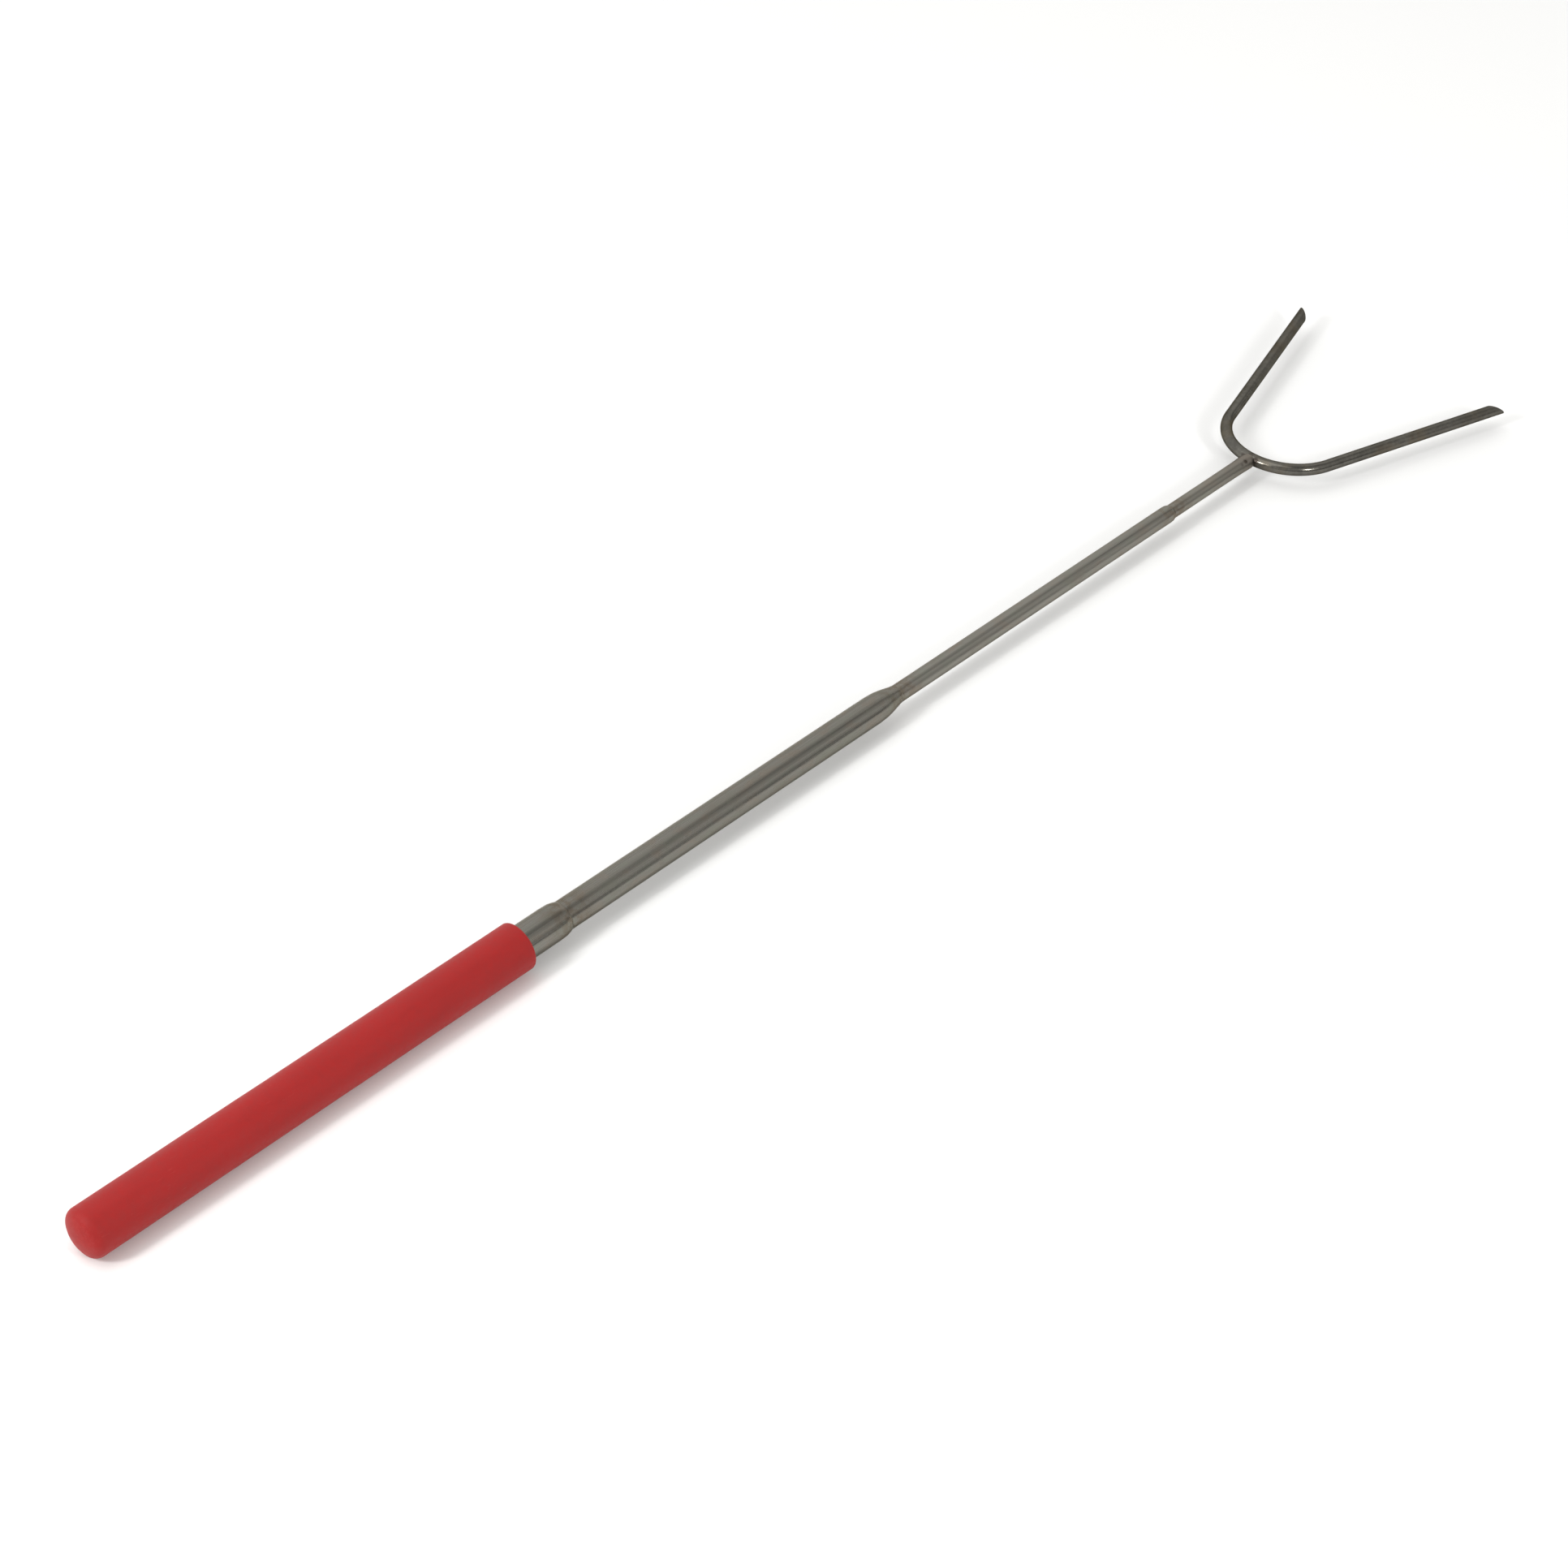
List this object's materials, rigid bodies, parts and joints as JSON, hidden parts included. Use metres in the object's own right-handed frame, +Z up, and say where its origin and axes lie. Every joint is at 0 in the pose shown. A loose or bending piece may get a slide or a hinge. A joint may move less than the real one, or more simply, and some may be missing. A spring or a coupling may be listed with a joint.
{
  "type": "marshmallow roasting fork",
  "caption": "Telescoping roasting fork: a bent steel rod with diverging bevel-cut prongs on nested sliding steel tubes with a soft red grip.",
  "frame": {"origin": "centre of the small flat on the grip's closed butt, on the tool axis", "axes": "+X along the tool axis from the butt towards the prongs, the prongs spread in the XY plane, +Z up, out of the plane of the prongs"},
  "size_m": [0.7683, 0.1176, 0.02],
  "materials": {
    "grip_vinyl": "soft matte vinyl with a faint mottle",
    "tube_steel": "satin drawn tube with lengthwise streaks",
    "rod_steel": "satin drawn rod, darker than the tubes",
    "spring_brass": "dull, slightly oiled",
    "plug_plastic": "matte moulded"
  },
  "bodies": {
    "handle": {"grip": "grip_vinyl", "handle_tube": "tube_steel", "handle_plug": "plug_plastic"},
    "second_shims": {"second_shim_left": "spring_brass", "second_shim_right": "spring_brass"},
    "second_stage": {"second_tube": "tube_steel", "second_stop_ring": "spring_brass"},
    "third_shims": {"third_shim_left": "spring_brass", "third_shim_right": "spring_brass"},
    "third_stage": {"third_tube": "tube_steel", "third_stop_ring": "spring_brass", "third_bush": "spring_brass"},
    "fourth_shims": {"fourth_shim_left": "spring_brass", "fourth_shim_right": "spring_brass"},
    "fork_stage": {"fourth_tube": "tube_steel", "fourth_stop_ring": "spring_brass", "fork_slug": "rod_steel", "fork_pin": "rod_steel", "fork_rod": "rod_steel"}
  },
  "joints": [
    {"name": "second_slide", "type": "slide", "parent": "handle", "child": "second_shims", "axis": [1, 0, 0], "range_m": [-0.176, 0]},
    {"name": "second_swivel", "type": "hinge", "parent": "second_shims", "child": "second_stage", "pos_m": [0.212, 0, 0], "axis": [1, 0, 0], "continuous": true},
    {"name": "third_slide", "type": "slide", "parent": "second_stage", "child": "third_shims", "axis": [1, 0, 0], "range_m": [-0.176, 0]},
    {"name": "third_swivel", "type": "hinge", "parent": "third_shims", "child": "third_stage", "pos_m": [0.391, 0, 0], "axis": [1, 0, 0], "continuous": true},
    {"name": "fourth_slide", "type": "slide", "parent": "third_stage", "child": "fourth_shims", "axis": [1, 0, 0], "range_m": [-0.042, 0.115]},
    {"name": "fourth_swivel", "type": "hinge", "parent": "fourth_shims", "child": "fork_stage", "pos_m": [0.466, 0, 0], "axis": [1, 0, 0], "continuous": true}
  ]
}
